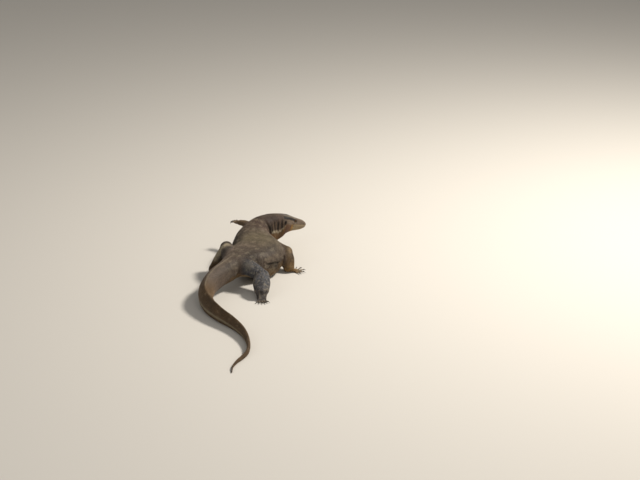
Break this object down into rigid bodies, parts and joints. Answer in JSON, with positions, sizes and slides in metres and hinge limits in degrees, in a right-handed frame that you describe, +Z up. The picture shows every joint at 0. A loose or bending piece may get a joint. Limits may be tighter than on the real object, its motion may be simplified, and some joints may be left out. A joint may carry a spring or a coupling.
{
  "type": "water monitor lizard",
  "caption": "Life-size still model of a stout water monitor lizard in mid-stride, head turned to its right and tail trailing in an S on the floor.",
  "frame": {"origin": "middle of the bounding box at floor level, under the hips' rear", "axes": "+Y the way the animal walks, +X its right, +Z up"},
  "size_m": [0.4118, 1.341, 0.1645],
  "materials": {
    "head_skin": "small scaly hide, grey-brown above, tan along the lips",
    "body_skin": "dull beaded hide, dusty dark grey-brown with faint spots",
    "tail_skin": "keeled scaly hide in rows, dark brown with an olive band low on the side",
    "limb_skin": "beaded hide, slate grey with black netting and small pale spots",
    "eye": "wet dark brown eye",
    "claw": "smooth dark horn"
  },
  "bodies": {
    "root": {"head": "head_skin", "lower_jaw": "head_skin", "neck": "body_skin", "trunk": "body_skin", "tail_1": "tail_skin", "tail_2": "tail_skin", "tail_3": "tail_skin", "tail_4": "tail_skin", "tail_5": "tail_skin", "right_upper_arm": "limb_skin", "right_forearm": "limb_skin", "right_hand": "limb_skin", "left_upper_arm": "limb_skin", "left_forearm": "limb_skin", "left_hand": "limb_skin", "right_thigh": "limb_skin", "right_shin": "limb_skin", "right_foot": "limb_skin", "left_thigh": "limb_skin", "left_shin": "limb_skin", "left_foot": "limb_skin", "eye_left": "eye", "eye_right": "eye", "claw_right_fore_1": "claw", "claw_right_fore_2": "claw", "claw_right_fore_3": "claw", "claw_right_fore_4": "claw", "claw_right_fore_5": "claw", "claw_left_fore_1": "claw", "claw_left_fore_2": "claw", "claw_left_fore_3": "claw", "claw_left_fore_4": "claw", "claw_left_fore_5": "claw", "claw_right_hind_1": "claw", "claw_right_hind_2": "claw", "claw_right_hind_3": "claw", "claw_right_hind_4": "claw", "claw_right_hind_5": "claw", "claw_left_hind_1": "claw", "claw_left_hind_2": "claw", "claw_left_hind_3": "claw", "claw_left_hind_4": "claw", "claw_left_hind_5": "claw"}
  },
  "joints": []
}
